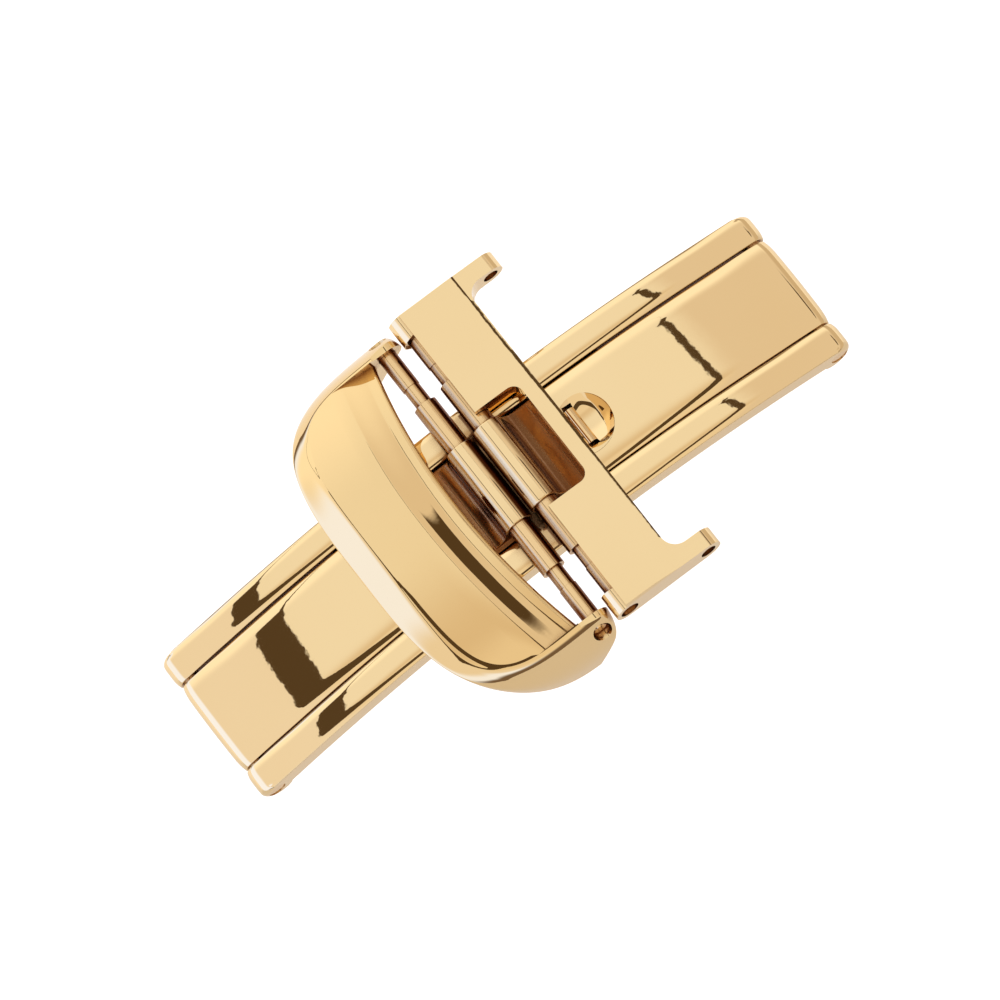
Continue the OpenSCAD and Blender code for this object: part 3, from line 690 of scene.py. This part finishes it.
def rolledSection(low, high, look):
    # Stations (y, sunk, cut, back) across a strip. With t from its middle and u what t is beyond the flat,
    # sunk = crown t^2 + roll u^3, cut is the fall of the round edge, and back sets the knuckle's corner in
    middle, half, edge = (low + high) / 2, (high - low) / 2, look["edge"]
    reach = half - edge
    for turn in range(6):  # the edge starts where its slope meets the section's
        slope = 2 * look["crown"] * reach + 3 * look["roll"] * max(reach - look["flat"], 0) ** 2
        steep = math.atan(slope)
        reach = half - edge * (1 - math.sin(steep))
    t = np.concatenate([np.linspace(0, look["flat"], 5), np.linspace(look["flat"], reach, 16)[1:]])
    sunk = look["crown"] * t ** 2 + look["roll"] * np.maximum(t - look["flat"], 0) ** 3
    turn = np.linspace(steep, math.pi / 2, 7)[1:]
    cut = np.concatenate([np.zeros(len(t)), edge * (math.cos(steep) - np.cos(turn))])
    t = np.concatenate([t, half - edge * (1 - np.sin(turn))])
    sunk = np.concatenate([sunk, np.full(len(turn), sunk[-1])])
    y = np.concatenate([middle - t[::-1], middle + t[1:]])
    back = np.maximum(span["corner"] - (rail["outer"] - np.abs(y)), 0)
    back = span["corner"] - np.sqrt(np.maximum(span["corner"] ** 2 - back ** 2, 0))
    return list(zip(y, np.concatenate([sunk[::-1], sunk[1:]]), np.concatenate([cut[::-1], cut[1:]]), back))


def spanArc(sunk, cut, start, stop, count):
    # Points (x, z) on the arc below the surface, angles in degrees; what is sunk fades before the hinges
    turn = np.linspace(start, stop, count)
    close = turn[[0, -1]] + (turn[1] - turn[0]) * np.array([0.08, -0.08])  # a ring close to each end
    turn = np.sort(np.concatenate([turn, close]))[:: int(np.sign(stop - start))]
    fade = np.clip((np.abs(turn) - span["fadeStart"]) / (span["end"] - span["fadeStart"]), 0, 1)
    r = span["radius"] - cut - sunk * (1 - span["fade"] * fade * fade * (3 - 2 * fade))
    return list(zip(r * np.sin(np.radians(turn)), span["centreZ"] + r * np.cos(np.radians(turn))))


def knuckleTurn(sunk, cut, back, deep, side):
    # Round the hinge by r = knuckle - cut - sunk (1 - fade), from the top about the end to the underside
    r = span["knuckle"] - cut - sunk * (1 - span["fade"])
    swing = 360 - math.degrees(math.acos((span["knuckle"] - deep) / r))
    turn = np.radians(span["end"] + swing * np.linspace(0, 1, 64) ** 1.4)
    return list(zip(side * (span["hingeX"] - back + r * np.sin(turn)), span["hingeZ"] + r * np.cos(turn)))


def alongAngle(point):
    # Angle of a point (x, z) about the arc's centre, in degrees from the middle
    return math.degrees(math.atan2(point[0], point[1] - span["centreZ"]))


def strip(name, stations, outline):
    # One closed mesh across the clasp, with the outline (x, z) that belongs to each station
    rings = [np.insert(outline(sunk, cut, back), 1, y, axis=1) for y, sunk, cut, back in stations]
    return closedTube(name, rings)


def railOutline(sunk, cut, back):
    # Over the arc, round the right knuckle, back under the arc and round the left knuckle
    right = knuckleTurn(sunk, cut, back, rail["deep"], 1)
    left = knuckleTurn(sunk, cut, back, rail["deep"], -1)[::-1]
    under = spanArc(0, rail["deep"], alongAngle(right[-1]), alongAngle(left[0]), 60)[1:-1]
    return spanArc(sunk, cut, alongAngle(left[-1]), alongAngle(right[0]), 140)[1:-1] + right + under + left


def leafOutline(side, bar):
    # Over the arc from the spring bar, round the leaf's own knuckle and back under the arc
    def outline(sunk, cut, back):
        turn = knuckleTurn(sunk, cut, back, leaf["deep"], side)
        under = spanArc(0, leaf["deep"], alongAngle(turn[-1]), alongAngle(bar), 40)[1:]
        return spanArc(sunk, cut, alongAngle(bar), alongAngle(turn[0]), 80)[:-1] + turn + under
    return outline


def placed(piece, side):
    # Stands a tool at a catch, square to the way the leaf lifts off
    rise = span["centreZ"] + math.sqrt(span["radius"] ** 2 - span["catchX"] ** 2) - span["hingeZ"]
    turn = Matrix.Rotation(side * math.atan2(rise, span["hingeX"] - span["catchX"]), 4, "Y")
    piece.matrix_world = Matrix.Translation((side * span["catchX"], 0, span["hingeZ"] + rise)) @ turn
    return piece


def pinHole(side, radius):
    # A round tool along a hinge's axis
    return prism("pinHole", arc((side * span["hingeX"], span["hingeZ"]), radius, 0, 356, 72), 1, -6, 6)


def makeBase():
    # Two rails with their knuckles, joined by a web, with the pins' holes and a slot for each catch
    near = strip("nearRail", rolledSection(-rail["outer"], -rail["inner"], rail), railOutline)
    far = strip("addFarRail", rolledSection(rail["inner"], rail["outer"], rail), railOutline)
    web = spanArc(0, span["webTop"], -span["webAngle"], span["webAngle"], 60)
    web += spanArc(0, span["webDeep"], span["webAngle"], -span["webAngle"], 60)
    tools = [far, prism("addWeb", web, 1, -span["webHalf"], span["webHalf"])]
    tools += [pinHole(-1, span["pinHole"]), pinHole(1, span["pinHole"])]
    x, y = span["neck"] / 2, span["catchWidth"] / 2
    for side in (-1, 1):
        tools.append(placed(prism("catchSlot", [(-x, -y), (x, -y), (x, y), (-x, y)], 2, -4, 4), side))
    hangPiece("curvedBase", carve(near, tools, span["smooth"]), "base_frame", "base")


def makeLeaf(name, node, body, side, tubeNode, lift, fillet):
    # A strip from its knuckle to the barrel on its foot, with holes for the bar, the pin and the cup
    spot = sum(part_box(tubeNode), Vector()) * 500  # the tube's middle, in millimetres
    bar = (spot.x, spot.z)
    r, up = leaf["barrel"], fillet - lift
    out = math.sqrt((r + fillet) ** 2 - up * up)
    meet = math.degrees(math.atan2(up, out))
    back = math.degrees(math.acos(-leaf["foot"] / r))
    drop = -lift - leaf["deep"]
    outline = [(-leaf["foot"], drop)] + arc((0, 0), r, 360 - back, meet, 60)
    outline += arc((out, up), fillet, 180 + meet, 270, 24)[1:] + [(out, -lift - 0.25), (leaf["foot"], drop)]
    profile = [(bar[0] + side * x, bar[1] + z) for x, z in outline]
    barrel = prism("addBarrel", profile, 1, -leaf["barrelHalf"], leaf["barrelHalf"])
    roundEdges(barrel, leaf["barrelRound"], 70)
    blank = strip("leafStrip", rolledSection(-leaf["half"], leaf["half"], leaf), leafOutline(side, bar))
    bore = prism("boreHole", arc(bar, leaf["bore"], 0, 356, 72), 1, -6, 6)
    cup = placed(prism("cupHole", arc((0, 0), span["cup"], 0, 356, 96), 2, -2, 2), side)
    tools = [barrel, pinHole(side, leaf["pinHole"]), bore, cup]
    hangPiece(name, carve(blank, tools, span["smooth"]), node, body, finish="leafGold")


makeBase()
makeLeaf("leftLeaf", "left_blade", "left_wing", -1, "cover_bar_tube", 0.8, 0.8)
makeLeaf("rightLeaf", "right_blade", "right_wing", 1, "bracket_bar_tube", 1.35, 1.6)
makeCamera()
makeTent()
makeFloor()
scene.view_settings.view_transform = "Standard"
print("camera, tent and floor ready")
